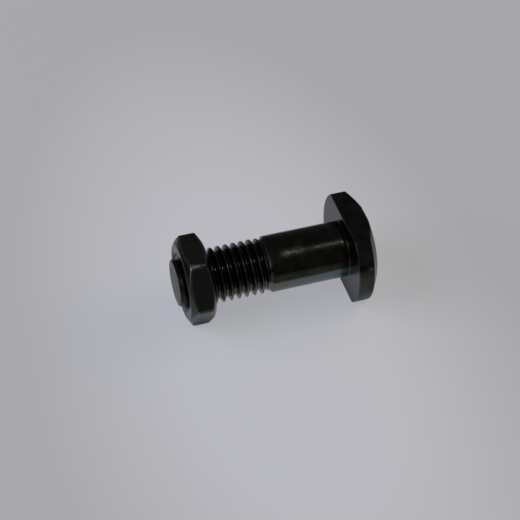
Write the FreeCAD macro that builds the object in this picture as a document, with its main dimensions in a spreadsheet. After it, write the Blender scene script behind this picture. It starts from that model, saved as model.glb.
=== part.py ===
"""Clamping screw with its thin hexagon nut, lying on a table on its flats.

The screw is one turned and rolled piece: a round head with two flats, a plain shank and a coarse
right-hand thread rolled on a reduced neck. The thin nut sits near the end of the thread.
Lengths along the screw are measured from the seat, the face of the head that bears on the work.
"""

import FreeCAD, Part
import math
import os
import re

import Sketcher

Vector = FreeCAD.Vector

# Driving sizes in millimetres and degrees, with what each one is.
SIZES = [
    ("shank_diameter", 18.0, "plain shank under the head"),
    ("shank_length", 24.6, "from the seat to the corner where the shank ends"),
    ("thread_diameter", 17.6, "over the crests of the thread"),
    ("thread_pitch", 2.5, "one turn of the thread"),
    ("thread_length", 29.7, "from the end of the shank to the tip"),
    ("neck_diameter", 16.3, "rolling blank that shows between shank and thread"),
    ("neck_length", 2.5, "from the end of the shank to the first crest"),
    ("first_gap", 1.7, "from the end of the shank to the first thread gap, underneath"),
    ("end_chamfer", 1.6, "45 degree chamfer on the tip"),
    ("head_diameter", 35.0, "round rim of the head"),
    ("head_height", 7.4, "from the seat to the outer face"),
    ("head_chamfer", 4.2, "turned chamfer of the outer face, from the rim inwards"),
    ("chamfer_angle", 30.0, "turned chamfers of head and nut, from the face"),
    ("across_flats", 25.8, "between the head's flats, and between the nut's"),
    ("root_web", 0.8, "45 degree web where the shank runs into the head"),
    ("edge_break", 0.3, "bevel round the seat's outer edge"),
    ("nut_height", 8.2, "thin nut, face to face"),
    ("nut_chamfer", 3.0, "turned chamfer of the nut's faces, from the corners inwards"),
    ("nut_corner_radius", 1.6, "rounding of the six corners"),
    ("nut_clearance", 0.1, "radial gap between crests and bore"),
    ("countersink_diameter", 19.2, "mouth of the bore at both faces"),
    ("tip_beyond_nut", 1.9, "how far the tip stands out of the nut"),
]

# Shares of the pitch that the metric thread form fixes.
THREAD_DEPTH_IN_PITCHES = 0.6134
CREST_FLAT_IN_PITCHES = 0.125
FLANK_ANGLE = 30.0

# How far cutting tools run past the metal they cut.
TOOL_OVERRUN = 0.4

doc = FreeCAD.newDocument("ClampingScrew")


def make_sheet():
    """The table of driving sizes, one named cell each."""
    sheet = doc.addObject("Spreadsheet::Sheet", "Sizes")
    sheet.Label = "sizes"
    for row, (name, value, meaning) in enumerate(SIZES, start=1):
        sheet.set(f"A{row}", meaning)
        sheet.set(f"B{row}", str(value))
        sheet.setAlias(f"B{row}", name)
    doc.recompute()
    return sheet


sheet = make_sheet()


NAMES = re.compile(r"\b(" + "|".join(name for name, _, _ in SIZES) + r")\b")


def bound(text):
    """The expression with each size's name written as that cell of the sheet."""
    return NAMES.sub(r"Sizes.\1", text)


def sized(owner, prop, text):
    """Bind a property of an object to an expression in the sheet's sizes."""
    owner.setExpression(prop, bound(text))


def plane(body, role):
    """One of the body's own origin planes."""
    return next(feature for feature in body.Origin.OriginFeatures if feature.Role == role)


def new_body(name, label):
    body = doc.addObject("PartDesign::Body", name)
    body.Label = label
    return body


def sketch_on(body, role, name):
    sketch = body.newObject("Sketcher::SketchObject", name)
    sketch.AttachmentSupport = (plane(body, role), [""])
    sketch.MapMode = "FlatFace"
    return sketch


def outline(sketch, corners):
    """A closed outline of straight lines; each corner is a pair of expressions for its place."""
    places = []
    for across, up in corners:
        places.append([float(sketch.evalExpression(bound(text))) for text in (across, up)])
    first = sketch.GeometryCount
    count = len(places)
    for index in range(count):
        start = Vector(*places[index], 0)
        end = Vector(*places[(index + 1) % count], 0)
        sketch.addGeometry(Part.LineSegment(start, end), False)
    for index in range(count):
        following = first + (index + 1) % count
        sketch.addConstraint(Sketcher.Constraint("Coincident", first + index, 2, following, 1))
    for index, texts in enumerate(corners):
        for kind, place, text in zip(("DistanceX", "DistanceY"), places[index], texts):
            if text == "0":
                axis = -2 if kind == "DistanceX" else -1
                sketch.addConstraint(
                    Sketcher.Constraint("PointOnObject", first + index, 1, axis)
                )
                continue
            number = sketch.addConstraint(
                Sketcher.Constraint(kind, -1, 1, first + index, 1, place)
            )
            sized(sketch, f"Constraints[{number}]", text)


def revolved(body, kind, name, sketch):
    """A full turn about the screw's axis, which is the sketch's own horizontal axis."""
    feature = body.newObject(f"PartDesign::{kind}", name)
    feature.Profile = sketch
    feature.ReferenceAxis = (sketch, ["H_Axis"])
    feature.Angle = 360
    return feature


def edges_where(feature, wanted):
    """The names of the edges whose shape passes a test."""
    return [
        f"Edge{number}"
        for number, edge in enumerate(feature.Shape.Edges, start=1)
        if wanted(edge)
    ]


def dressed(body, kind, name, base, wanted):
    """A fillet or chamfer on the chosen edges of the feature before it."""
    feature = body.newObject(f"PartDesign::{kind}", name)
    feature.Base = (base, edges_where(base, wanted))
    return feature


def radius_from_axis(point):
    return math.hypot(point.y, point.z)


# Screw: the turned blank, from the outer face of the head to the tip.
screw = new_body("Screw", "clamping_screw")

RIM_DROP = "head_chamfer * tan(chamfer_angle * 1deg)"
NECK_END = "-(shank_length + neck_length)"
NECK_STEP = "(shank_diameter - neck_diameter) / 2"
CREST_STEP = "(thread_diameter - neck_diameter) / 2"

blank_sketch = sketch_on(screw, "XZ_Plane", "BlankOutline")
outline(
    blank_sketch,
    [
        ("head_height", "0"),
        ("head_height", "head_diameter / 2 - head_chamfer"),
        (f"head_height - {RIM_DROP}", "head_diameter / 2"),
        ("0", "head_diameter / 2"),
        ("0", "shank_diameter / 2"),
        ("-shank_length", "shank_diameter / 2"),
        (f"-shank_length - {NECK_STEP}", "neck_diameter / 2"),
        (f"{NECK_END} + {CREST_STEP}", "neck_diameter / 2"),
        (NECK_END, "thread_diameter / 2"),
        ("-(shank_length + thread_length) + end_chamfer", "thread_diameter / 2"),
        ("-(shank_length + thread_length)", "thread_diameter / 2 - end_chamfer"),
        ("-(shank_length + thread_length)", "0"),
    ],
)
doc.recompute()
blank = revolved(screw, "Revolution", "Blank", blank_sketch)
doc.recompute()
blank_volume = blank.Shape.Volume

# Two parallel flats on the head, milled above and below the axis.
flat_sketch = sketch_on(screw, "YZ_Plane", "HeadFlats")
SIDE = f"head_diameter / 2 + {TOOL_OVERRUN}"
for side in ("", "-"):
    inner = f"{side}across_flats / 2"
    outer = f"{side}({SIDE})"
    outline(
        flat_sketch,
        [(f"-({SIDE})", inner), (SIDE, inner), (SIDE, outer), (f"-({SIDE})", outer)],
    )
doc.recompute()
head_flats = screw.newObject("PartDesign::Pocket", "HeadFlatsCut")
head_flats.Profile = flat_sketch
head_flats.Reversed = True
sized(head_flats, "Length", "head_height")
doc.recompute()
if head_flats.Shape.Volume > blank_volume - 1.0:
    raise RuntimeError("the flats on the head cut nothing")

half_shank = sheet.shank_diameter / 2


def at_shank_root(edge):
    """The circle where the shank meets the seat."""
    round_edge = isinstance(edge.Curve, Part.Circle)
    return round_edge and abs(edge.Curve.Center.x) < 1e-6 and abs(edge.Curve.Radius - half_shank) < 1e-6


def on_seat_rim(edge):
    """The rounded and straight edges that bound the seat on its outside."""
    middle = edge.valueAt((edge.FirstParameter + edge.LastParameter) / 2)
    flat_to_seat = all(abs(vertex.X) < 1e-6 for vertex in edge.Vertexes)
    return flat_to_seat and abs(middle.x) < 1e-6 and radius_from_axis(middle) > half_shank + 1e-3


root_web = dressed(screw, "Chamfer", "RootWeb", head_flats, at_shank_root)
sized(root_web, "Size", "root_web")
doc.recompute()
seat_bevel = dressed(screw, "Chamfer", "SeatBevel", root_web, on_seat_rim)
sized(seat_bevel, "Size", "edge_break")
doc.recompute()
bare_volume = seat_bevel.Shape.Volume

# The thread: one tooth gap swept down the helix, from the neck out past the tip. It starts on the
# underside of the neck, where the half turn of incomplete thread is hidden.
HALF_CREST_GAP = f"thread_pitch * (1 - {CREST_FLAT_IN_PITCHES}) / 2"
DEPTH = f"thread_pitch * {THREAD_DEPTH_IN_PITCHES}"
HALF_ROOT_GAP = f"({HALF_CREST_GAP} - {DEPTH} * tan({FLANK_ANGLE} * 1deg))"
HALF_MOUTH_GAP = f"({HALF_CREST_GAP} + {TOOL_OVERRUN} / 4 * tan({FLANK_ANGLE} * 1deg))"
ROOT = f"-(thread_diameter / 2 - {DEPTH})"
MOUTH = f"-(thread_diameter / 2 + {TOOL_OVERRUN} / 4)"
START = "(-(shank_length + first_gap))"

gap_sketch = sketch_on(screw, "XZ_Plane", "ThreadGap")
outline(
    gap_sketch,
    [
        (f"{START} - {HALF_ROOT_GAP}", ROOT),
        (f"{START} + {HALF_ROOT_GAP}", ROOT),
        (f"{START} + {HALF_MOUTH_GAP}", MOUTH),
        (f"{START} - {HALF_MOUTH_GAP}", MOUTH),
    ],
)
doc.recompute()
thread = screw.newObject("PartDesign::SubtractiveHelix", "Thread")
thread.Profile = gap_sketch
thread.ReferenceAxis = (gap_sketch, ["H_Axis"])
thread.Mode = "pitch-height-angle"
thread.Angle = 0
thread.LeftHanded = False
thread.Reversed = True
sized(thread, "Pitch", "thread_pitch")
sized(thread, "Height", "thread_length + thread_pitch")
doc.recompute()
if thread.Shape.Volume > bare_volume - 1.0:
    raise RuntimeError("the thread cuts nothing")

# Nut: a hexagon with turned chamfers and a countersunk bore, flats above and below.
nut = new_body("Nut", "hex_nut")

hexagon_sketch = sketch_on(nut, "YZ_Plane", "Hexagon")
CORNER = "across_flats / 2 / cos(30deg)"
outline(
    hexagon_sketch,
    [
        (CORNER, "0"),
        (f"{CORNER} / 2", "across_flats / 2"),
        (f"-{CORNER} / 2", "across_flats / 2"),
        (f"-{CORNER}", "0"),
        (f"-{CORNER} / 2", "-across_flats / 2"),
        (f"{CORNER} / 2", "-across_flats / 2"),
    ],
)
doc.recompute()
hexagon = nut.newObject("PartDesign::Pad", "HexagonBar")
hexagon.Profile = hexagon_sketch
sized(hexagon, "Length", "nut_height")
doc.recompute()


def along_screw(edge):
    """A straight edge that runs the way the screw does."""
    return len(edge.Vertexes) == 2 and abs(edge.Vertexes[0].X - edge.Vertexes[1].X) > 1.0


corners = dressed(nut, "Fillet", "Corners", hexagon, along_screw)
sized(corners, "Radius", "nut_corner_radius")
doc.recompute()

FACE = f"({CORNER} - nut_chamfer)"
REACH = f"({CORNER} + {TOOL_OVERRUN})"
DROP = f"({REACH} - {FACE}) * tan(chamfer_angle * 1deg)"
chamfer_sketch = sketch_on(nut, "XZ_Plane", "NutChamfers")
outline(chamfer_sketch, [("0", FACE), ("0", REACH), (DROP, REACH)])
outline(
    chamfer_sketch,
    [("nut_height", FACE), ("nut_height", REACH), (f"nut_height - {DROP}", REACH)],
)
doc.recompute()
nut_chamfers = revolved(nut, "Groove", "NutChamferCut", chamfer_sketch)
doc.recompute()

BORE = "thread_diameter / 2 + nut_clearance"
MOUTH_RADIUS = "countersink_diameter / 2"
bore_sketch = sketch_on(nut, "XZ_Plane", "BoreOutline")
outline(
    bore_sketch,
    [
        ("0", "0"),
        ("0", MOUTH_RADIUS),
        (f"{MOUTH_RADIUS} - ({BORE})", BORE),
        (f"nut_height - {MOUTH_RADIUS} + ({BORE})", BORE),
        ("nut_height", MOUTH_RADIUS),
        ("nut_height", "0"),
    ],
)
doc.recompute()
bore = revolved(nut, "Groove", "Bore", bore_sketch)
doc.recompute()
if not bore.Shape.Volume < nut_chamfers.Shape.Volume < corners.Shape.Volume:
    raise RuntimeError("the nut's chamfers or bore cut nothing")

# Both pieces are laid down on their flats, the middle of the whole length over the origin.
SEAT = "(shank_length + thread_length - head_height) / 2"
sized(screw, "Placement.Base.x", SEAT)
sized(screw, "Placement.Base.z", "across_flats / 2")
sized(nut, "Placement.Base.x", f"{SEAT} - shank_length - thread_length + tip_beyond_nut")
sized(nut, "Placement.Base.z", "across_flats / 2")
doc.recompute()


def check_and_write():
    """Stop at any failed feature or bad solid, then write one file for each piece."""
    for item in doc.Objects:
        if "Invalid" in item.State or "Error" in item.State:
            raise RuntimeError(f"{item.Label} failed: {item.State}")
    for piece in (screw, nut):
        shape = piece.Shape
        if shape.isNull() or not shape.isValid() or len(shape.Solids) != 1:
            raise RuntimeError(f"{piece.Label} is not one valid solid")
    os.makedirs("parts", exist_ok=True)
    for piece in (screw, nut):
        piece.Shape.exportStep(os.path.join("parts", f"{piece.Label}.step"))
        size = piece.Shape.BoundBox
        print(piece.Label, [round(v, 2) for v in (size.XLength, size.YLength, size.ZLength)])
        print("   volume", round(piece.Shape.Volume, 1), "faces", len(piece.Shape.Faces))


check_and_write()
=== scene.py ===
# %% [markdown]
# A blackened clamping screw with a thin hexagon nut near its tip, lying on a pale table. This
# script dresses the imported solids: it makes both pieces again as fine closed surfaces, with true
# threads and broken edges, and gives them the finish of oiled black oxide on steel.

import math

import bmesh
import bpy
import numpy as np
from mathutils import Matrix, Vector


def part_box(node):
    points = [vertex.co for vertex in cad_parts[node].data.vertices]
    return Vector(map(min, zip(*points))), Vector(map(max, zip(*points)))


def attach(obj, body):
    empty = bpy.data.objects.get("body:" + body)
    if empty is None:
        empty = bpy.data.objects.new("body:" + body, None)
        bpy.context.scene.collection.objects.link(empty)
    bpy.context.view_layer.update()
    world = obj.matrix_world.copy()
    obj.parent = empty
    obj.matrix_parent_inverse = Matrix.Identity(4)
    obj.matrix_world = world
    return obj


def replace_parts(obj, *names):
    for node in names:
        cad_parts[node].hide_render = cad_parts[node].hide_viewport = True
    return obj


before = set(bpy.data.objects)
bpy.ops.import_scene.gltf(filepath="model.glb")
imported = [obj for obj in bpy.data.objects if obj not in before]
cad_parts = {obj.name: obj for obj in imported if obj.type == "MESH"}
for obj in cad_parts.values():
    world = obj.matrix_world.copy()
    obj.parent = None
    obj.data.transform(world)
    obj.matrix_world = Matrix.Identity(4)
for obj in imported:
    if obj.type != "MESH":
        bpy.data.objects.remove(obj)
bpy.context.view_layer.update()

# %% [markdown]
# The frame gives the places: how long the screw is, how far apart its flats are, where the nut
# sits. What a box can't give, such as the thread's form, is a named size in millimetres. The screw
# lies along X with its head at +X, and its axis is half the flats' distance above the table. An
# angle about the axis starts at +Y, the far side, and a quarter turn later it points up.

# %% Sizes of the screw in millimetres
MM = 0.001
TINY = 1e-9
screw_low, screw_high = [np.array(corner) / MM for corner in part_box("clamping_screw")]
nut_low, nut_high = [np.array(corner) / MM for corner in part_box("hex_nut")]

AXIS_HEIGHT = (screw_low[2] + screw_high[2]) / 2
HALF_FLATS = (screw_high[2] - screw_low[2]) / 2
TIP = screw_low[0]
HEAD_HEIGHT = 7.4
SEAT = screw_high[0] - HEAD_HEIGHT
OUTER_FACE = SEAT + HEAD_HEIGHT
RIM_RADIUS = (screw_high[1] - screw_low[1]) / 2
HEAD_CHAMFER = 4.2
CROWN_RADIUS = RIM_RADIUS - HEAD_CHAMFER
CHAMFER_SLOPE = math.tan(math.radians(30))

SHANK_RADIUS = 9.0
SHANK_LENGTH = 24.6
SHANK_END = SEAT - SHANK_LENGTH
NECK_RADIUS = 8.15
NECK_START = SHANK_END - (SHANK_RADIUS - NECK_RADIUS)
ROOT_FILLET = 0.35

print("axis", round(AXIS_HEIGHT, 2), "seat", round(SEAT, 2), "tip", round(TIP, 2))

# %% Sizes of the thread in millimetres
PITCH = 2.5
CREST_RADIUS = 8.8
# A metric outer thread is 0.6134 of its pitch deep.
THREAD_DEPTH = 0.6134 * PITCH
THREAD_ROOT = CREST_RADIUS - THREAD_DEPTH
END_CHAMFER = 1.6
# Straight below the axis, the middle of the last gap is this far past the shank's end.
LAST_GAP = 1.7
GAP_BELOW = SHANK_END - LAST_GAP
NECK_LENGTH = 1.1
NECK_AND_RUN_OUT = 2.6
RUN_OUT_START = SHANK_END - NECK_LENGTH
RUN_OUT_END = SHANK_END - NECK_AND_RUN_OUT
print("thread root", round(THREAD_ROOT, 3), "run-out", round(RUN_OUT_START - RUN_OUT_END, 2))

# %% [markdown]
# Turned and milled edges are never perfectly sharp: each has a small break that catches the light.
# Two curves stand for them. A blend of two heights rounds the line where one overtakes the other,
# and a corner of an outline is cut by a short arc. Both work on whole arrays.


# %% Rounded edges
def lower_of(one, other, blend):
    """The smaller of two heights, less (blend - difference)^2 / (4 blend) where they meet."""
    bump = np.maximum(blend - np.abs(one - other), 0.0)
    return np.minimum(one, other) - bump**2 / (4 * blend)


def higher_of(one, other, blend):
    """The larger of two heights, with the same bump added."""
    return -lower_of(-one, -other, blend)


# %% Section outlines with broken corners
LONGEST_CUT = 0.42
ROW_BESIDE = 1.4
FARTHEST_ROW = 0.48


def section(corners, steps=5):
    """Rows of points down a section outline, one point for each column of the grid.

    A corner is (place along the screw, distance from its axis, break, how worn). The first two are
    each a number or one value for each column, and the outline's two ends have only those. A corner
    is cut back by its break along both sides, and the cut is a parabola with the corner as its
    handle: (1-t)^2 start + 2t(1-t) corner + t^2 stop. One more row beside each cut keeps the flat
    stretches flat in the shading. The third array says how worn each row is, from 0 to 1.
    """
    outline = [corner[:2] for corner in corners]
    count = max(np.size(value) for point in outline for value in point)
    points = np.array(
        [[np.broadcast_to(value, count) for value in point] for point in outline], float
    ).transpose(0, 2, 1)
    t = np.linspace(0, 1, steps)[:, None, None]
    rows = [points[:1]]
    wear_and_glint = [0.0]
    edges = [corner[2:] for corner in corners[1:-1]]
    for before, corner, after, (cut, rubbed_and_glint) in zip(points, points[1:], points[2:], edges):
        sides = []
        for end in (before, after):
            length = np.linalg.norm(end - corner, axis=1, keepdims=True)
            along = (end - corner) / np.maximum(length, TINY)
            to_cut = along * np.minimum(cut, LONGEST_CUT * length)
            to_row = along * np.minimum(ROW_BESIDE * cut, FARTHEST_ROW * length)
            sides.append((to_cut, to_row))
        (start, start_row), (stop, stop_row) = sides
        arc = (1 - t) ** 2 * (corner + start) + 2 * t * (1 - t) * corner + t**2 * (corner + stop)
        rows += [(corner + start_row)[None], arc, (corner + stop_row)[None]]
        wear_and_glint += [0.0] + [rubbed_and_glint] * steps + [0.0]
    rows.append(points[-1:])
    wear_and_glint.append(0.0)
    rows = np.concatenate(rows)
    return rows[..., 0], rows[..., 1], np.repeat(np.array(wear_and_glint)[:, None], count, axis=1)


# %% [markdown]
# A thread is a surface whose height depends on where a point lies between two crests, and that
# place moves by one pitch in a full turn. If the grid's rows stayed level, every crest would cut
# across them in steps. So the rows climb with the thread: each follows its own helix, and after a
# full turn it joins the row one pitch along. At both ends the rows are held at a level ring.

# %% Thread form
HALF_ROOT_FLAT = PITCH / 12
FLANK_SLOPE = 1 / math.tan(math.radians(30))
CREST_BLEND = 0.14
ROOT_BLEND = 0.25
# Straight down is three quarters of a turn from the far side.
STRAIGHT_DOWN = 0.75


def gap_centre(angle):
    """Where the thread's gap lies at an angle about the axis: one pitch further in a full turn."""
    return GAP_BELOW + PITCH * (angle / (2 * math.pi) - STRAIGHT_DOWN)


def from_gap(place, angle):
    """Distance from the nearest gap's middle, at most half a pitch."""
    turns = (place - gap_centre(angle)) / PITCH
    return PITCH * np.abs(turns - np.round(turns))


def outer_thread(place, angle):
    """Root, flank and crest of the screw: the flank's line, held between root and crest."""
    flank = THREAD_ROOT + (from_gap(place, angle) - HALF_ROOT_FLAT) * FLANK_SLOPE
    return higher_of(lower_of(flank, CREST_RADIUS, CREST_BLEND), THREAD_ROOT, ROOT_BLEND)


# %% Climbing rows, closest together where the flank meets root and crest
HALF_PITCH_ROWS = np.array([0.0, 0.05, 0.085, 0.12, 0.18, 0.26, 0.34, 0.37, 0.39, 0.41, 0.44, 0.5])
ONE_PITCH = np.concatenate([HALF_PITCH_ROWS, 1 - HALF_PITCH_ROWS[-2:0:-1]])
SPARE_PITCHES = 3


def climbing_rows(angle, low, high):
    """Places along the screw for each row and column, held between low and high."""
    pitches = int(math.ceil((high - low) / PITCH)) + SPARE_PITCHES
    turns = (np.arange(pitches)[:, None] + ONE_PITCH).ravel()
    first = gap_centre(0.0)
    first += PITCH * math.ceil((high - first) / PITCH)
    places = first - PITCH * turns[:, None] + PITCH * angle / (2 * math.pi)
    return np.clip(places, low, high)


# %% [markdown]
# Each piece is one grid wrapped round the axis. Rows that fell together at the poles and at the
# ends of the thread are merged, which closes the surface, and its enclosed volume tells whether
# the faces point outwards.

# %% From grid to closed mesh
SAME_POINT = 0.001
NO_EDGE = 0.0001


def wrapped_mesh(name, places, radii, wear_and_glint, angle, thread_rows=None, ring=False):
    """A closed mesh from rows of (place, radius) at each angle.

    Point = (place, radius cos angle, axis height + radius sin angle). Rows between thread_rows join
    the row one pitch earlier when they come round. A ring also joins its last row to its first. How
    worn each point is, with the painted glints on the thread and the nut's corner added, goes with
    it as an attribute for the finish.
    """
    count_rows, count_columns = places.shape
    points = np.stack(
        [places, radii * np.cos(angle), AXIS_HEIGHT + radii * np.sin(angle)], axis=-1
    ).reshape(-1, 3)
    row = np.arange(count_rows)
    after = np.roll(row, -1) if ring else row + 1
    if not ring:
        row, after = row[:-1], after[:-1]
    column = np.arange(count_columns)
    here = row[:, None] * count_columns + column
    below = after[:, None] * count_columns + column

    def round_again(rows):
        """Which row each row joins after a full turn."""
        if thread_rows is None:
            return rows
        first, last = thread_rows
        inside = (rows >= first) & (rows < last)
        return np.where(inside, np.maximum(rows - len(ONE_PITCH), first), rows)

    here_next = np.roll(here, -1, axis=1)
    below_next = np.roll(below, -1, axis=1)
    here_next[:, -1] = round_again(row) * count_columns
    below_next[:, -1] = round_again(after) * count_columns
    quads = np.stack([here, below, below_next, here_next], axis=-1).reshape(-1, 4)

    mesh = bpy.data.meshes.new(name)
    mesh.from_pydata((points * MM).tolist(), [], quads.tolist())
    rubbed_and_glint = mesh.attributes.new("wear_and_glint", "FLOAT", "POINT")
    rubbed_and_glint.data.foreach_set("value", np.ascontiguousarray(wear_and_glint, np.float32).ravel())
    shell = bmesh.new()
    shell.from_mesh(mesh)
    bmesh.ops.remove_doubles(shell, verts=shell.verts, dist=SAME_POINT * MM)
    bmesh.ops.dissolve_degenerate(shell, edges=shell.edges, dist=NO_EDGE * MM)
    if shell.calc_volume(signed=True) < 0:
        bmesh.ops.reverse_faces(shell, faces=shell.faces)
    open_edges = sum(not edge.is_manifold for edge in shell.edges)
    volume = round(shell.calc_volume() / MM**3)
    print(name, len(shell.faces), "faces,", open_edges, "open edges,", volume, "cubic mm")
    shell.to_mesh(mesh)
    shell.free()
    mesh.shade_smooth()
    piece = bpy.data.objects.new(name, mesh)
    bpy.context.scene.collection.objects.link(piece)
    return piece


# %% Columns that crowd at the corners
def crowded_angles(count, corners, crowd, width, samples=20001):
    """Angles round the axis that crowd at the corners.

    The density is 1 plus a bell crowd exp(-(distance / width)^2) at each corner, and the angles are
    equal shares of its running total.
    """
    fine = np.linspace(0, 2 * math.pi, samples)
    gaps = (fine[:, None] - np.array(corners) + math.pi) % (2 * math.pi) - math.pi
    density = 1 + crowd * np.exp(-((gaps / width) ** 2)).sum(axis=1)
    total = np.concatenate([[0], np.cumsum((density[1:] + density[:-1]) / 2)])
    return np.interp(np.arange(count) / count, total / total[-1], fine)


# %% [markdown]
# The screw was turned from one bar: round head, plain shank, a short neck at the rolling diameter
# and the rolled thread. Two flats were milled on the head. Seen along the axis the head is a circle
# cut by two lines, so at each angle its outline comes from the nearer of rim and flat.

# %% The screw's head, shank and neck
SCREW_COLUMNS = 224
RIM_BLEND = 0.2
FAR_OUT = 3 * RIM_RADIUS

flat_corner = math.asin(HALF_FLATS / RIM_RADIUS)
flat_corners = [flat_corner, math.pi - flat_corner, math.pi + flat_corner, -flat_corner]
screw_angle = crowded_angles(SCREW_COLUMNS, flat_corners, crowd=12.0, width=math.radians(1.2))

to_flat = HALF_FLATS / np.maximum(np.abs(np.sin(screw_angle)), TINY)
head_edge = lower_of(np.minimum(to_flat, FAR_OUT), RIM_RADIUS, RIM_BLEND)
crown_edge = np.minimum(CROWN_RADIUS, head_edge)
chamfer_foot = OUTER_FACE - (head_edge - crown_edge) * CHAMFER_SLOPE

head_places, head_radii, head_worn = section(
    [
        # Place along the screw, distance from its axis, break, how worn
        (OUTER_FACE, 0.0),
        (OUTER_FACE, crown_edge, 0.25, 0.2),
        (chamfer_foot, head_edge, 0.25, 0.3),
        (SEAT, head_edge, 0.3, 0.4),
        (SEAT, SHANK_RADIUS, ROOT_FILLET, 0.0),
        (SHANK_END, SHANK_RADIUS, 0.06, 0.0),
        (NECK_START, NECK_RADIUS, 0.45, 0.25),
        (RUN_OUT_START, NECK_RADIUS),
    ]
)

# %% [markdown]
# The thread rises out of the neck over a short run-out, and the end chamfer is a cone that cuts its
# last turns. Its crests are rubbed on the near side and hardly at all behind. In one narrow row on
# the near upper side, where the overhead lamp glints, crests and roots are rubbed up to their
# brightest as a painted highlight. The two tables of wear and painted glint read from degrees about
# the axis to how rubbed the metal is there, from 0 to 1.

# %% The screw's thread and tip
TIP_BLEND = 0.15
END_FACE_RADII = (6.6, 5.0, 0.0)
# Both tables peak at 121 degrees, where the overhead lamp glints: the crests' peak is a painted
# highlight on top of their wear, and the roots' rub is painted highlight only.
CREST_WEAR_AND_GLINT = {70: 0.08, 108: 0.22, 113: 0.25, 121: 1.0, 129: 0.25, 134: 0.3, 230: 0.3, 290: 0.1}
ROOT_GLINT = {112: 0.0, 121: 0.9, 130: 0.0}
CREST_BAND_DEPTH = 0.12
ROOT_GLINT_HEIGHT = 0.2
ROOT_GLINT_FADE = 0.1

thread_places = climbing_rows(screw_angle, TIP, RUN_OUT_START)
run_out = np.clip((RUN_OUT_START - thread_places) / (RUN_OUT_START - RUN_OUT_END), 0, 1)
formed = run_out * run_out * (3 - 2 * run_out)
thread_radii = NECK_RADIUS + formed * (outer_thread(thread_places, screw_angle) - NECK_RADIUS)
end_cone = CREST_RADIUS - END_CHAMFER + (thread_places - TIP)
thread_radii = lower_of(thread_radii, end_cone, TIP_BLEND)

screw_degrees = np.degrees(screw_angle)
crest_wear_and_glint = np.interp(screw_degrees, list(CREST_WEAR_AND_GLINT), list(CREST_WEAR_AND_GLINT.values()))
root_glint = np.interp(screw_degrees, list(ROOT_GLINT), list(ROOT_GLINT.values()))
on_crest = np.clip((thread_radii - CREST_RADIUS + CREST_BAND_DEPTH) / CREST_BAND_DEPTH, 0, 1)
in_root = np.clip((THREAD_ROOT + ROOT_GLINT_HEIGHT - thread_radii) / ROOT_GLINT_FADE, 0, 1)
thread_wear_and_glint = np.maximum(crest_wear_and_glint * on_crest, root_glint * in_root)

tip_shape = (len(END_FACE_RADII), SCREW_COLUMNS)
tip_places = np.full(tip_shape, TIP)
tip_radii = np.broadcast_to(np.array(END_FACE_RADII)[:, None], tip_shape)
screw = wrapped_mesh(
    "clamping_screw_body",
    np.concatenate([head_places, thread_places, tip_places]),
    np.concatenate([head_radii, thread_radii, tip_radii]),
    np.concatenate([head_worn, thread_wear_and_glint, np.zeros(tip_shape)]),
    screw_angle,
    thread_rows=(len(head_places), len(head_places) + len(thread_places)),
)
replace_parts(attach(screw, "screw"), "clamping_screw")

# %% [markdown]
# The nut is a slice of hexagon bar. Both faces were turned to a cone, which leaves the curved
# shoulders on its flats, and the bore was countersunk before the thread was cut. Seen along the
# axis each side is at a distance flats / cos(angle from the side's middle), and a small arc rounds
# the bar's corners. The corner on the near upper side is painted bright along its outer half, a
# painted highlight where the overhead lamp glints on it.

# %% The nut's two outlines
NUT_CORNER = 1.6
NUT_CHAMFER = 3.0
NUT_FACE_RADIUS = HALF_FLATS / math.cos(math.pi / 6) - NUT_CHAMFER
MOUTH_RADIUS = 9.6
MOUTH_BLEND = 0.1
INNER_MINOR = 7.65
INNER_MAJOR = 9.0
INNER_BLEND = 0.2
THREAD_PLAY = 0.15


def hexagon_edge(angle):
    """Distance from the axis to a hexagon with rounded corners.

    A side is flats / cos(a), with a the angle from its middle. A corner is an arc whose centre lies
    on the diagonal at D: D cos(d) + sqrt(corner^2 - D^2 sin(d)^2), with d the angle from it.
    """
    off_corner = np.abs((angle + math.pi / 6) % (math.pi / 3) - math.pi / 6)
    side = HALF_FLATS / np.cos(math.pi / 6 - off_corner)
    centre = (HALF_FLATS - NUT_CORNER) / math.cos(math.pi / 6)
    under_root = np.maximum(NUT_CORNER**2 - (centre * np.sin(off_corner)) ** 2, 0)
    arc = centre * np.cos(off_corner) + np.sqrt(under_root)
    tangent = math.atan2(NUT_CORNER / 2, centre + NUT_CORNER * math.cos(math.pi / 6))
    return np.where(off_corner < tangent, arc, side)


def inner_thread(place, angle):
    """The nut's own thread: the screw's flank moved out by the play, and the countersinks."""
    flank = THREAD_ROOT + THREAD_PLAY + (from_gap(place, angle) - HALF_ROOT_FLAT) * FLANK_SLOPE
    thread = higher_of(lower_of(flank, INNER_MAJOR, INNER_BLEND), INNER_MINOR, INNER_BLEND)
    from_face = np.minimum(place - nut_low[0], nut_high[0] - place)
    return higher_of(thread, MOUTH_RADIUS - from_face, MOUTH_BLEND)


# %% The nut
NUT_COLUMNS = 216
BRIGHT_CORNER = math.radians(120)
BRIGHT_REACH = math.radians(4.0)
BRIGHT_RISE = 1.5
BRIGHT_START = 0.4
SIDE_DEPTH = 0.3

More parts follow.
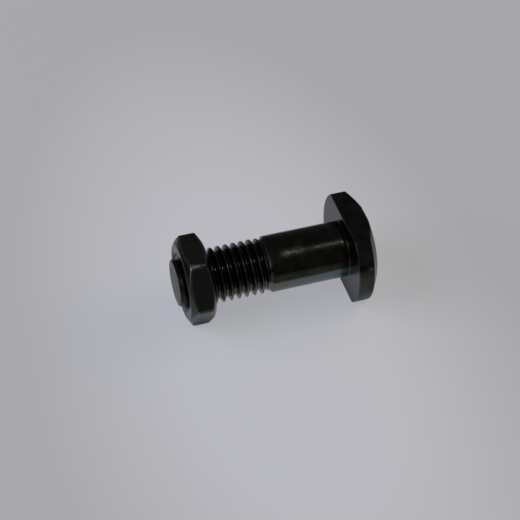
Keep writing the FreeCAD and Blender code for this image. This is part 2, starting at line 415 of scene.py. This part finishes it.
nut_corner_angles = [math.radians(60 * side) for side in range(6)]
nut_angle = crowded_angles(NUT_COLUMNS, nut_corner_angles, crowd=8.0, width=math.radians(2.5))
nut_edge = hexagon_edge(nut_angle)
shoulder = np.maximum(nut_edge - NUT_FACE_RADIUS, 0) * CHAMFER_SLOPE
face_edge = np.minimum(NUT_FACE_RADIUS, nut_edge)
outer_places, outer_radii, outer_wear_and_glint = section(
    [
        # Place along the screw, distance from its axis, break, how worn
        (nut_low[0], MOUTH_RADIUS),
        (nut_low[0], face_edge, 0.25, 0.12),
        (nut_low[0] + shoulder, nut_edge, 0.45, 0.17),
        (nut_high[0] - shoulder, nut_edge, 0.45, 0.09),
        (nut_high[0], face_edge, 0.25, 0.09),
        (nut_high[0], MOUTH_RADIUS),
    ]
)
nut_length = nut_high[0] - nut_low[0]
# The corner at 120 degrees is rubbed up to full along its outer half: a painted highlight where the
# overhead lamp glints.
off_bright = np.abs(nut_angle - BRIGHT_CORNER)
on_bright = np.clip(2 - 2 * off_bright / BRIGHT_REACH, 0, 1)
from_inner = np.clip(BRIGHT_RISE * (nut_high[0] - outer_places) / nut_length - BRIGHT_START, 0, 1)
on_side = outer_radii > nut_edge - SIDE_DEPTH
outer_wear_and_glint = np.maximum(outer_wear_and_glint, on_side * on_bright * from_inner)

bore_places = climbing_rows(nut_angle, nut_low[0], nut_high[0])
bore_radii = inner_thread(bore_places, nut_angle)
nut = wrapped_mesh(
    "hex_nut_body",
    np.concatenate([outer_places, bore_places]),
    np.concatenate([outer_radii, bore_radii]),
    np.concatenate([outer_wear_and_glint, np.zeros_like(bore_radii)]),
    nut_angle,
    thread_rows=(len(outer_places), len(outer_places) + len(bore_places)),
    ring=True,
)
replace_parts(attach(nut, "nut"), "hex_nut")

# %% [markdown]
# Every colour is written as it would be picked on a screen and turned to linear light by one
# function. Another adds a node, sets its values and joins its inputs, so each finish reads as a
# list of steps.


# %% Colour and node helpers
def to_linear(hex_colour):
    """Linear light from an sRGB hex colour: c/12.92 below 0.04045, else ((c+0.055)/1.055)^2.4."""
    channels = [int(hex_colour[i : i + 2], 16) / 255 for i in (1, 3, 5)]
    linear = [c / 12.92 if c <= 0.04045 else ((c + 0.055) / 1.055) ** 2.4 for c in channels]
    return (*linear, 1.0)


def add_node(tree, kind, inputs=None, **settings):
    """One node with its settings; an input is a value or another node's output socket."""
    node = tree.nodes.new(kind)
    for key, value in settings.items():
        setattr(node, key, value)
    for key, value in (inputs or {}).items():
        if isinstance(value, bpy.types.NodeSocket):
            tree.links.new(value, node.inputs[key])
        else:
            node.inputs[key].default_value = value
    return node


def new_material(name):
    """An empty material with its output and shader already joined."""
    material = bpy.data.materials.new(name)
    material.use_nodes = True
    tree = material.node_tree
    tree.nodes.clear()
    shader = add_node(tree, "ShaderNodeBsdfPrincipled")
    add_node(tree, "ShaderNodeOutputMaterial", {"Surface": shader.outputs["BSDF"]})
    return material, tree, shader


# %% [markdown]
# Black oxide is a skin of magnetite a thousandth of a millimetre thick, grown on the steel in a hot
# bath and then oiled. It keeps the metal's own tool marks, looks nearly black face on and mirrors
# what is round it at a low angle. Skin and oil lie in clouds: the darker ones are glossier, the
# paler ones duller and a little olive. Along edges and crests the skin is rubbed thin, and the grey
# of the steel comes through.
#
# The tool marks run round the axis on the turned shank and as rings on the turned faces. Both are
# one pattern if it is read along place + distance from the axis, because on a shank the second
# stays the same, and on a face the first. Real marks are 0.1 mm apart or less, which is finer than
# a dot of the render, so they are drawn about 0.5 mm apart, 2 to the millimetre.


# %% Places on the turned metal
def turned_places(tree):
    """Sockets for a point's place in mm from the axis, its X, Y and Z, its distance and its mark.

    The mark is read at (place + distance, Y / distance, Z / distance).
    """
    place = add_node(tree, "ShaderNodeTexCoord").outputs["Object"]
    in_mm = add_node(
        tree, "ShaderNodeMapping",
        {"Vector": place, "Location": (0, 0, -AXIS_HEIGHT), "Scale": (1 / MM,) * 3},
    ).outputs["Vector"]
    parts = add_node(tree, "ShaderNodeSeparateXYZ", {"Vector": in_mm}).outputs
    across = add_node(
        tree, "ShaderNodeCombineXYZ", {"Y": parts["Y"], "Z": parts["Z"]}
    ).outputs["Vector"]
    from_axis = add_node(
        tree, "ShaderNodeVectorMath", {0: across}, operation="LENGTH"
    ).outputs["Value"]
    round_axis = add_node(
        tree, "ShaderNodeVectorMath", {0: across}, operation="NORMALIZE"
    ).outputs["Vector"]
    feed = add_node(
        tree, "ShaderNodeMath", {0: parts["X"], 1: from_axis}, operation="ADD"
    ).outputs["Value"]
    feed_only = add_node(tree, "ShaderNodeCombineXYZ", {"X": feed}).outputs["Vector"]
    mark_place = add_node(
        tree, "ShaderNodeVectorMath", {0: round_axis, 1: feed_only}, operation="ADD"
    ).outputs["Vector"]
    return in_mm, parts, from_axis, mark_place


# %% [markdown]
# A scuff is a round patch where the skin has been knocked or wiped. It fades from a core outwards,
# it can be plain or broken up into specks by the small nicks in the surface, and it can be duller
# than the oiled skin beside it. Where two lie over each other, the stronger one counts. The same
# patches also make painted glints: a rubbed patch set where the overhead lamp glints brightens its
# highlight in the colour.

# %% Scuffs and painted glints
SCUFF_CORE = 0.3
NICK_RANGE = (0.48, 0.68)


def add_scuffs_and_glints(tree, in_mm, nicks, rub_and_glint_share, scuffs_and_glints):
    """How rubbed the skin is with each scuff and painted glint added, and how much rougher.

    A scuff is (place, size, how rubbed, how much of that is specks, how much duller). Its patch is
    1 up to the core's share of its size, and 0 beyond its size.
    """
    dulled = 0.0
    for spot, size, strength, speckled, dulling in scuffs_and_glints:
        off_spot = add_node(
            tree, "ShaderNodeVectorMath", {0: in_mm, 1: spot}, operation="DISTANCE"
        ).outputs["Value"]
        patch = add_node(
            tree, "ShaderNodeMapRange",
            {"Value": off_spot, "From Min": size, "From Max": SCUFF_CORE * size},
            interpolation_type="SMOOTHSTEP",
        ).outputs["Result"]
        specks = add_node(
            tree, "ShaderNodeMapRange",
            {"Value": nicks, "From Min": NICK_RANGE[0], "From Max": NICK_RANGE[1],
             "To Min": strength * (1.0 - speckled), "To Max": strength},
        ).outputs["Result"]
        patch_rub = add_node(
            tree, "ShaderNodeMath", {0: patch, 1: specks}, operation="MULTIPLY"
        ).outputs["Value"]
        rub_and_glint_share = add_node(
            tree, "ShaderNodeMath", {0: rub_and_glint_share, 1: patch_rub}, operation="MAXIMUM"
        ).outputs["Value"]
        dull = add_node(
            tree, "ShaderNodeMath", {0: patch, 1: dulling}, operation="MULTIPLY"
        ).outputs["Value"]
        dulled = add_node(
            tree, "ShaderNodeMath", {0: dulled, 1: dull}, operation="MAXIMUM"
        ).outputs["Value"]
    return rub_and_glint_share, dulled


# %% [markdown]
# The near side's lower quarter of shank and thread is paler and mirrors more, olive at the thread
# and blue at the head. The band begins just above the axis. Four tests of where a point lies keep
# it on the near side, and off the head and the tip's chamfer.

# %% The pale band
BAND_HEIGHTS = (0.55, -0.8)
# A paler, more mirroring colour on the lower near side, olive at the thread and blue at the head.
PALE_AT_THREAD = "#757468"
PALE_AT_HEAD = "#657A80"
JUST_OFF = 0.05


def add_pale_band(tree, parts, from_axis, colour, pale_share):
    """The colour with the pale band over it, from nothing at the upper height to the pale share."""
    band = add_node(
        tree, "ShaderNodeMapRange",
        {"Value": parts["Z"], "From Min": BAND_HEIGHTS[0], "From Max": BAND_HEIGHTS[1],
         "To Max": pale_share},
        interpolation_type="SMOOTHSTEP",
    ).outputs["Result"]
    for value, limit, kind in (
        (parts["Y"], 0.0, "LESS_THAN"),
        (from_axis, SHANK_RADIUS + JUST_OFF, "LESS_THAN"),
        (parts["X"], TIP + END_CHAMFER, "GREATER_THAN"),
        (parts["X"], SEAT - JUST_OFF, "LESS_THAN"),
    ):
        inside = add_node(
            tree, "ShaderNodeMath", {0: value, 1: limit}, operation=kind
        ).outputs["Value"]
        band = add_node(
            tree, "ShaderNodeMath", {0: band, 1: inside}, operation="MULTIPLY"
        ).outputs["Value"]
    along = add_node(
        tree, "ShaderNodeMapRange", {"Value": parts["X"], "From Min": SHANK_END, "From Max": SEAT}
    ).outputs["Result"]
    pale_colour = add_node(
        tree, "ShaderNodeMix",
        {"Factor": along, "A": to_linear(PALE_AT_THREAD), "B": to_linear(PALE_AT_HEAD)},
        data_type="RGBA",
    ).outputs["Result"]
    return add_node(
        tree, "ShaderNodeMix", {"Factor": band, "A": colour, "B": pale_colour}, data_type="RGBA"
    ).outputs["Result"]


# %% [markdown]
# Four noises make the surface. The scale of each is how many of its features lie in a millimetre:
# tool marks 0.5 mm apart, clouds of about 4.5 mm, grain of 0.6 mm and nicks of 0.9 mm. The cloud
# noise keeps near its middle value, so its middle range is stretched to the full 0 to 1.

# %% Black oxide on steel
PATTERNS = {
    "marks": {"Scale": 2.0, "Detail": 3.0, "Roughness": 0.7},
    "clouds": {"Scale": 0.22, "Detail": 6.0, "Roughness": 0.62},
    "grain": {"Scale": 1.7, "Detail": 4.0, "Roughness": 0.7},
    "nicks": {"Scale": 1.1, "Detail": 5.0, "Roughness": 0.65},
}
CLOUD_RANGE = (0.33, 0.67)
GRAIN_RANGE = (0.3, 0.7)
LEAST_RUBBED = 0.45
GLOSS_SPREAD = 0.07
GRAIN_SHARE = 0.45
MARK_DEPTH = 0.03
STEEL_TINT = "#F0F2F4"


def black_oxide(name, base, rubbed_and_glint, roughness, scuffs_and_glints=(), pale_share=0.0):
    """Oiled black oxide: dark metal, marks round the axis, cloudy gloss and rubbed edges."""
    material, tree, shader = new_material(name)
    in_mm, parts, from_axis, mark_place = turned_places(tree)
    noise = {}
    for pattern, form in PATTERNS.items():
        where = mark_place if pattern == "marks" else in_mm
        noise[pattern] = add_node(
            tree, "ShaderNodeTexNoise", {"Vector": where, **form}
        ).outputs["Fac"]
    clouds = add_node(
        tree, "ShaderNodeMapRange",
        {"Value": noise["clouds"], "From Min": CLOUD_RANGE[0], "From Max": CLOUD_RANGE[1]},
    ).outputs["Result"]

    # The wear attribute also carries the painted glints on the thread and the nut's corner, and the
    # pale rubbed colour makes them bright.
    wear_and_glint = add_node(tree, "ShaderNodeAttribute", attribute_name="wear_and_glint").outputs["Fac"]
    patchy = add_node(
        tree, "ShaderNodeMapRange",
        {"Value": noise["grain"], "From Min": GRAIN_RANGE[0], "From Max": GRAIN_RANGE[1],
         "To Min": LEAST_RUBBED},
    ).outputs["Result"]
    rub_and_glint_share = add_node(
        tree, "ShaderNodeMath", {0: wear_and_glint, 1: patchy}, operation="MULTIPLY"
    ).outputs["Value"]
    rub_and_glint_share, dulled = add_scuffs_and_glints(tree, in_mm, noise["nicks"], rub_and_glint_share, scuffs_and_glints)

    colour = add_node(
        tree, "ShaderNodeMix",
        {"Factor": clouds, "A": to_linear(base[0]), "B": to_linear(base[1])}, data_type="RGBA",
    ).outputs["Result"]
    colour = add_node(
        tree, "ShaderNodeMix", {"Factor": rub_and_glint_share, "A": colour, "B": to_linear(rubbed_and_glint)},
        data_type="RGBA",
    ).outputs["Result"]
    if pale_share:
        colour = add_pale_band(tree, parts, from_axis, colour, pale_share)

    gloss = add_node(
        tree, "ShaderNodeMapRange",
        {"Value": clouds, "To Min": roughness - GLOSS_SPREAD, "To Max": roughness + GLOSS_SPREAD},
    ).outputs["Result"]
    gloss = add_node(
        tree, "ShaderNodeMath", {0: gloss, 1: dulled}, operation="ADD"
    ).outputs["Value"]
    height = add_node(
        tree, "ShaderNodeMix", {"Factor": GRAIN_SHARE, "A": noise["marks"], "B": noise["grain"]},
        data_type="FLOAT",
    ).outputs["Result"]
    bump = add_node(
        tree, "ShaderNodeBump", {"Height": height, "Strength": 1.0, "Distance": MARK_DEPTH * MM}
    ).outputs["Normal"]
    shader.inputs["Metallic"].default_value = 1.0
    shader.inputs["Specular Tint"].default_value = to_linear(STEEL_TINT)
    tree.links.new(colour, shader.inputs["Base Color"])
    tree.links.new(gloss, shader.inputs["Roughness"])
    tree.links.new(bump, shader.inputs["Normal"])
    return material


# %% [markdown]
# The photograph shows this wear on the screw: a scuffed patch on the upper near side of the shank,
# towards the thread, with dull skin round it and along the line of light, a bright knock on the
# near side of the head's rim with thinner skin round it, and specks on the end face. Where the
# scuffed patch lies on the line of light its rub is raised as a painted highlight, and a small
# rubbed patch close to the seat is a painted glint. The nut has only its rubbed edges and its
# corner painted bright as a highlight.


# %% The two finishes
def on_round(from_seat, degrees, radius=SHANK_RADIUS):
    """A place on a round surface, from the seat and round the axis, in mm from the axis."""
    turn = math.radians(degrees)
    return (SEAT - from_seat, radius * math.cos(turn), radius * math.sin(turn))


screw_scuffs_and_glints = [
    # Place, size in mm, how rubbed, how much of that is specks, how much duller
    # The first three lie on the overhead lamp's line of light: real specks whose rub is raised as a
    # painted highlight.
    (on_round(20.4, 122), 2.4, 0.5, 0.7, 0.1),
    (on_round(18.2, 121), 2.4, 0.6, 0.85, 0.12),
    (on_round(15.8, 120), 2.2, 0.6, 0.85, 0.1),
    (on_round(23.4, 121), 4.0, 0.0, 0.0, 0.35),
    (on_round(12.4, 121), 3.2, 0.0, 0.0, 0.12),
    (on_round(8.0, 121), 9.0, 0.0, 0.0, 0.03),
    # A painted glint close to the seat, where the overhead lamp catches the fillet.
    (on_round(0.9, 128), 1.5, 0.9, 0.6, 0.0),
    (on_round(-3.9, 163, RIM_RADIUS), 1.1, 1.0, 0.4, 0.5),
    (on_round(-3.7, 165, RIM_RADIUS), 13.0, 0.1, 0.0, 0.0),
    ((TIP, 0.0, 0.0), 11.0, 0.06, 0.6, 0.15),
]
screw_finish = black_oxide(
    "oiled_black_oxide",
    base=("#1F2120", "#383A31"),
    rubbed_and_glint="#74746E",
    roughness=0.21,
    scuffs_and_glints=screw_scuffs_and_glints,
    pale_share=0.9,
)
nut_finish = black_oxide(
    "oiled_black_oxide_nut",
    base=("#343835", "#454740"),
    # This pale rubbed colour is also the painted highlight on the nut's bright corner.
    rubbed_and_glint="#B8BAB6",
    roughness=0.25,
)
screw.data.materials.append(screw_finish)
nut.data.materials.append(nut_finish)
print(screw_finish.name, len(screw_finish.node_tree.nodes), "nodes,",
      nut_finish.name, len(nut_finish.node_tree.nodes), "nodes")

# %% [markdown]
# The table is a plain pale sheet with a painted fall-off of light: its colour is paler in the
# middle and darker away from it. In the photograph its light comes from all round, and the screw
# throws hardly any shadow. Part of its colour is therefore its own light, and the rest is lit and
# keeps the soft shadow. What the metal mirrors differs in two ways: the far table fades out, and
# own light is held back where the screw stands close above, as an Ambient Occlusion node measures
# it. That darkens the nut's lowest flat towards the table.

# %% Table
TABLE_HALF = 1.2
table_mesh = bpy.data.meshes.new("table")
table_mesh.from_pydata(
    [(x * TABLE_HALF, y * TABLE_HALF, 0.0) for x, y in ((-1, -1), (1, -1), (1, 1), (-1, 1))],
    [],
    [(0, 1, 2, 3)],
)
table = bpy.data.objects.new("table", table_mesh)
bpy.context.scene.collection.objects.link(table)

# %% The table's colour, with a painted pool of light in the middle
TABLE_COLOUR = "#BCBEC4"
TABLE_SHADED_FAR_COLOUR = "#AAABAF"
# The painted pool of light is longer across the screw than along it, and a little off its centre.
TABLE_SHIFT = (5.0, 10.0, 0.0)
TABLE_STRETCH = 0.45
LIGHT_FALL_OFF = (30.0, 78.0)

table_paint, table_tree, table_shader = new_material("pale_table")
table_shader.inputs["Roughness"].default_value = 0.8
table_shader.inputs["Specular IOR Level"].default_value = 0.2
table_place = add_node(table_tree, "ShaderNodeTexCoord").outputs["Object"]
table_mm = add_node(
    table_tree, "ShaderNodeMapping",
    {"Vector": table_place, "Location": TABLE_SHIFT, "Scale": (1 / MM, TABLE_STRETCH / MM, 1 / MM)},
).outputs["Vector"]
off_middle = add_node(
    table_tree, "ShaderNodeVectorMath", {0: table_mm}, operation="LENGTH"
).outputs["Value"]
# Darker away from the middle: a painted fall-off of the table's light.
painted_fall_off = add_node(
    table_tree, "ShaderNodeMapRange",
    {"Value": off_middle, "From Min": LIGHT_FALL_OFF[0], "From Max": LIGHT_FALL_OFF[1]},
).outputs["Result"]
table_colour = add_node(
    table_tree, "ShaderNodeMix",
    {"Factor": painted_fall_off, "A": to_linear(TABLE_COLOUR), "B": to_linear(TABLE_SHADED_FAR_COLOUR)},
    data_type="RGBA",
).outputs["Result"]

# %% The table in the metal's mirror: fading out from 50 to 130 mm away
MIRRORED = (50.0, 130.0)
MIRRORED_FAR_SHARE = 0.1
BLACK = (0.0, 0.0, 0.0, 1.0)

ray = add_node(table_tree, "ShaderNodeLightPath").outputs
off_screw = add_node(
    table_tree, "ShaderNodeVectorMath", {0: table_place}, operation="LENGTH"
).outputs["Value"]
mirrored = add_node(
    table_tree, "ShaderNodeMapRange",
    {"Value": off_screw, "From Min": MIRRORED[0] * MM, "From Max": MIRRORED[1] * MM,
     "To Min": 1.0, "To Max": MIRRORED_FAR_SHARE},
).outputs["Result"]
not_mirrored = add_node(
    table_tree, "ShaderNodeMath", {0: 1.0, 1: ray["Is Glossy Ray"]}, operation="SUBTRACT"
).outputs["Value"]
strength = add_node(
    table_tree, "ShaderNodeMath", {0: not_mirrored, 1: mirrored}, operation="MAXIMUM"
).outputs["Value"]
table_colour = add_node(
    table_tree, "ShaderNodeMix", {"Factor": strength, "A": BLACK, "B": table_colour},
    data_type="RGBA",
).outputs["Result"]
table_tree.links.new(table_colour, table_shader.inputs["Base Color"])

# %% The table's own light
SEEN_OWN_SHARE = 0.7
MIRRORED_OWN_SHARE = 0.74
CONTACT_REACH = 3.5

open_above = add_node(
    table_tree, "ShaderNodeAmbientOcclusion", {"Distance": CONTACT_REACH * MM}, samples=8
).outputs["AO"]
glow = add_node(
    table_tree, "ShaderNodeMath", {0: open_above, 1: ray["Is Camera Ray"]}, operation="MAXIMUM"
).outputs["Value"]
own_light = add_node(
    table_tree, "ShaderNodeEmission", {"Color": table_colour, "Strength": glow}
).outputs["Emission"]
seen_share = add_node(
    table_tree, "ShaderNodeMath", {0: ray["Is Camera Ray"], 1: SEEN_OWN_SHARE},
    operation="MULTIPLY",
).outputs["Value"]
own_share = add_node(
    table_tree, "ShaderNodeMath",
    {0: ray["Is Glossy Ray"], 1: MIRRORED_OWN_SHARE, 2: seen_share}, operation="MULTIPLY_ADD",
).outputs["Value"]
table_look = add_node(
    table_tree, "ShaderNodeMixShader",
    {"Fac": own_share, 1: table_shader.outputs["BSDF"], 2: own_light},
).outputs["Shader"]
table_out = next(node for node in table_tree.nodes if node.type == "OUTPUT_MATERIAL")
table_tree.links.new(table_look, table_out.inputs["Surface"])
table_mesh.materials.append(table_paint)

# %% [markdown]
# The camera stands where the photograph's outlines put it: 472 mm from the screw, turned 17 degrees
# and looking 44 degrees down, through a lens that sees 19.7 degrees across.

# %% Camera
LOOK_AT = Vector((-2.65, 2.38, 12.9)) * MM
DISTANCE = 471.6 * MM
TURN = math.radians(16.91)
LOOK_DOWN = math.radians(43.97)
FIELD = math.radians(19.67)
NEAREST_SEEN = 10.0 * MM

level = math.cos(LOOK_DOWN)
forward = Vector((math.sin(TURN) * level, math.cos(TURN) * level, -math.sin(LOOK_DOWN)))
camera = bpy.data.objects.new("camera", bpy.data.cameras.new("camera"))
camera.data.angle = FIELD
camera.data.clip_start = NEAREST_SEEN
camera.location = LOOK_AT - forward * DISTANCE
camera.rotation_euler = forward.to_track_quat("-Z", "Y").to_euler()
bpy.context.scene.collection.objects.link(camera)
bpy.context.scene.camera = camera
print("camera at", [round(place / MM) for place in camera.location], "mm")

# %% [markdown]
# The screw lies along X, so its round and flat sides mirror only what is above, behind, in front of
# and below it. The room is dark there, which is why the metal looks black. Two large lamps, a
# window on the left and a warmer wall on the right, light the table, and the metal is kept from
# showing them. A weak bluish window low on the left is what the faces and bevels turned that way
# show. A small lamp overhead draws the thin line of light along the shank, the row of sparks on the
# thread and the bright corner of the nut; the sparks and the corner are also made brighter in the
# metal's colour as painted highlights.


# %% Lamps
def area_lamp(name, towards, distance, size, power, colour, mirrored=True):
    """A square lamp in a direction from the screw, facing it; the metal can be kept from it."""
    lamp = bpy.data.lights.new(name, "AREA")
    lamp.size = size
    lamp.energy = power
    lamp.color = to_linear(colour)[:3]
    holder = bpy.data.objects.new(name, lamp)
    holder.visible_glossy = mirrored
    direction = Vector(towards).normalized()
    holder.location = direction * distance
    holder.rotation_euler = direction.to_track_quat("Z", "Y").to_euler()
    bpy.context.scene.collection.objects.link(holder)


area_lamp(
    "window", towards=(-0.85, 0.15, 0.55), distance=1.2, size=1.0, power=16.0, colour="#E4EDFF",
    mirrored=False,
)
area_lamp(
    "wall", towards=(0.85, 0.10, 0.60), distance=1.2, size=1.0, power=10.0, colour="#FFDCAE",
    mirrored=False,
)
area_lamp(
    "low_window", towards=(-0.8, -0.3, 0.4), distance=1.2, size=0.7, power=2.5, colour="#DCE8FF"
)
area_lamp(
    "overhead", towards=(0.24, -0.30, 0.92), distance=1.0, size=0.02, power=0.25, colour="#FFFDF6"
)

# %% Surroundings
ROOM_COLOUR = "#FFFFFF"
ROOM_LIGHT = 0.13
world = bpy.data.worlds.new("room")
world.use_nodes = True
background = world.node_tree.nodes["Background"]
background.inputs["Color"].default_value = to_linear(ROOM_COLOUR)
background.inputs["Strength"].default_value = ROOM_LIGHT
bpy.context.scene.world = world
bpy.context.scene.view_settings.view_transform = "Standard"
